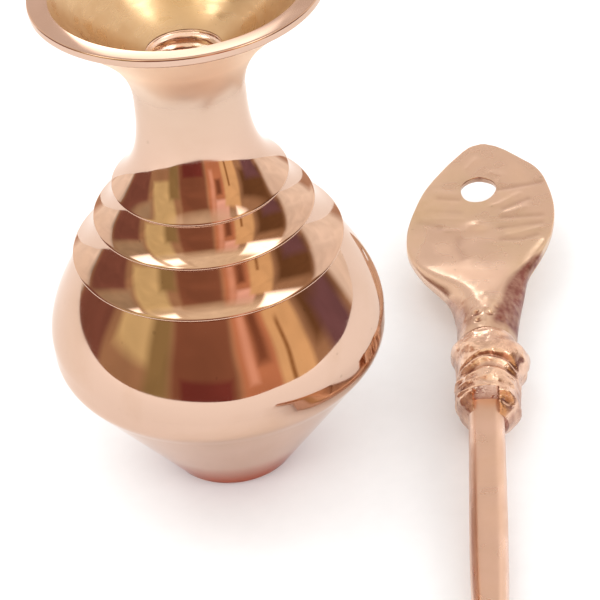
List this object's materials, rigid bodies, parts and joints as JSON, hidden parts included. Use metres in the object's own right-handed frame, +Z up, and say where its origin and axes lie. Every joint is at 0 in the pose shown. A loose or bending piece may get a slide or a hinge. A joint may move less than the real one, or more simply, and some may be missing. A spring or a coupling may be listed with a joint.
{
  "type": "brass kohl pot with applicator stick",
  "caption": "Small turned brass pot with a trumpet mouth, stepped shoulder and tapered bowl, and its screw-in applicator stick with a flat leaf head lying beside it.",
  "frame": {"origin": "centre of the flat underside of the pot's foot, on the surface that the pot stands on", "axes": "+Z up along the pot's turning axis; the applicator stick lies on the surface on the +X side, with its leaf towards +Y and its rod towards -Y"},
  "size_m": [0.066, 0.1002, 0.0659],
  "materials": {
    "pot_outside": "mirror polished with fine wipe marks and faint waviness, pinkish gold",
    "mouth": "polished, yellower inside the mouth, with fine turning lines",
    "throat": "machined thread, darker and duller than the outside",
    "foot": "polished, rubbed and slightly dark where it stands",
    "leaf": "cast and hand polished, slightly uneven, soft sheen",
    "stopper": "cast, roughly cut thread with dark hollows and bright crests",
    "rod": "filed flats with fine lengthwise marks, satin"
  },
  "bodies": {
    "pot": {"foot_disc": "foot", "lower_bowl": "pot_outside", "stepped_shoulder": "pot_outside", "threaded_bush": "throat", "trumpet_mouth": "mouth"},
    "applicator": {"leaf_head": "leaf", "screw_stopper": "stopper", "applicator_rod": "rod"}
  },
  "joints": [
    {"name": "applicator_lift", "type": "slide", "parent": "pot", "child": "applicator", "axis": [0, 0, 1], "range_m": [0, 0.08]}
  ]
}
